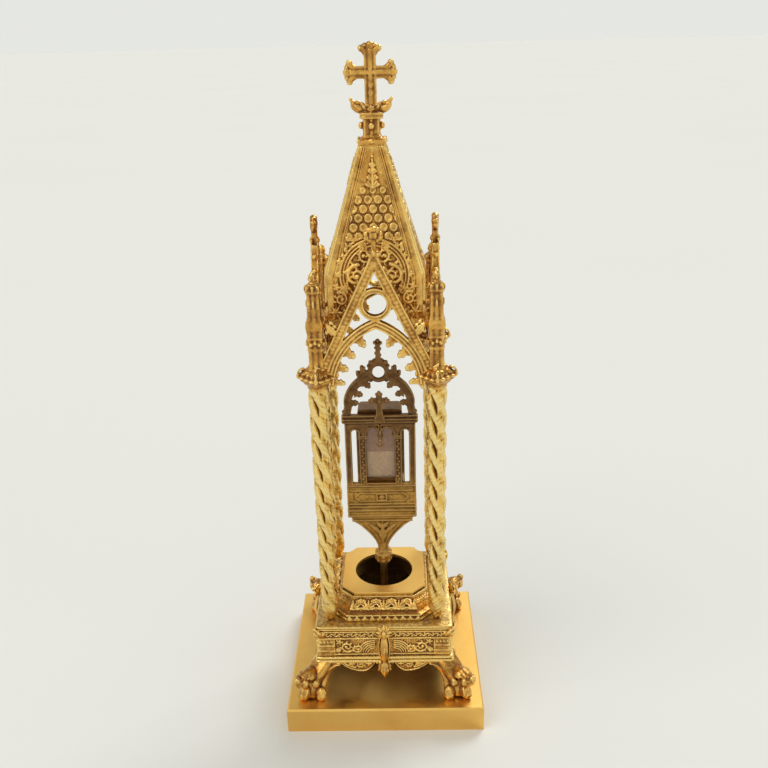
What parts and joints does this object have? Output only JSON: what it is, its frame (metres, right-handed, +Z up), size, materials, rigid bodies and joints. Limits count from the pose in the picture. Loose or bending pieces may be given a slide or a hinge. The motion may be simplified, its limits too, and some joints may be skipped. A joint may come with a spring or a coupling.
{
  "type": "monstrance",
  "caption": "Gothic table monstrance: twisted columns carry an open gabled canopy and spire over a glazed relic case on a turning stem.",
  "frame": {"origin": "centre of the base plate's underside, where the monstrance stands", "axes": "+Z up, -Y towards the viewer at the front of the relic case, +X to the viewer's right"},
  "size_m": [0.108, 0.108, 0.3542],
  "materials": {
    "polished_brass": "satin, finely brushed gilt brass",
    "gilt_casting": "antique gilding with brown patina in the recesses",
    "column_gilding": "bright rough-cast gilding",
    "dark_bronze": "dark tarnished bronze, brassy on the raised lines",
    "inner_brass": "plain turned brass hardware",
    "glass": "clear thin glass",
    "relic_cloth": "faded rose silk",
    "relic_paper": "aged paper slip, unprinted"
  },
  "bodies": {
    "stand": {"base_plate": "polished_brass", "base_screws": "inner_brass", "bridge": "inner_brass", "bridge_screws": "inner_brass", "capital_back_left": "gilt_casting", "capital_back_right": "gilt_casting", "capital_front_left": "gilt_casting", "capital_front_right": "gilt_casting", "column_back_left": "column_gilding", "column_back_right": "column_gilding", "column_front_left": "column_gilding", "column_front_right": "column_gilding", "corner_posts": "gilt_casting", "cornice": "gilt_casting", "cross_finial": "gilt_casting", "finial_nut": "inner_brass", "foot_back_left": "gilt_casting", "foot_back_right": "gilt_casting", "foot_front_left": "gilt_casting", "foot_front_right": "gilt_casting", "gable_back": "gilt_casting", "gable_front": "gilt_casting", "gable_left": "gilt_casting", "gable_right": "gilt_casting", "leaf_bracket_back": "gilt_casting", "leaf_bracket_front": "gilt_casting", "leaf_bracket_left": "gilt_casting", "leaf_bracket_right": "gilt_casting", "leaf_collar": "gilt_casting", "lower_moulding": "gilt_casting", "pinnacle_back_left": "gilt_casting", "pinnacle_back_right": "gilt_casting", "pinnacle_front_left": "gilt_casting", "pinnacle_front_right": "gilt_casting", "pinnacle_nuts": "gilt_casting", "side_panel_back": "gilt_casting", "side_panel_front": "gilt_casting", "side_panel_left": "gilt_casting", "side_panel_right": "gilt_casting", "spire_collar": "gilt_casting", "spire_shell": "gilt_casting", "stem_bush": "inner_brass", "tie_rods": "inner_brass", "top_plate": "polished_brass", "upper_plinth": "gilt_casting"},
    "stem": {"stem_rod": "inner_brass", "stem_nut": "inner_brass"},
    "holder": {"console_knob": "dark_bronze", "console": "dark_bronze", "holder_frame": "dark_bronze", "crest_arch": "dark_bronze", "small_cross": "dark_bronze", "guide_rails": "dark_bronze"},
    "relic_case": {"theca_case": "dark_bronze", "case_hinge": "dark_bronze", "glass_pane": "glass", "relic_board": "relic_cloth", "relic_label": "relic_paper"},
    "back_cover": {"back_cover": "dark_bronze", "cover_knob": "dark_bronze"}
  },
  "joints": [
    {"name": "stem_turn", "type": "hinge", "parent": "stand", "child": "stem", "pos_m": [0, 0, 0.052], "axis": [0, 0, 1], "continuous": true},
    {"name": "holder_lift", "type": "slide", "parent": "stem", "child": "holder", "axis": [0, 0, 1], "range_m": [0, 0.01]},
    {"name": "case_slide", "type": "slide", "parent": "holder", "child": "relic_case", "axis": [0, 0, 1], "range_m": [0, 0.017]},
    {"name": "cover_hinge", "type": "hinge", "parent": "relic_case", "child": "back_cover", "pos_m": [-0.0103, 0.0098, 0.1485], "axis": [0, 0, 1], "range_deg": [0, 110]}
  ]
}
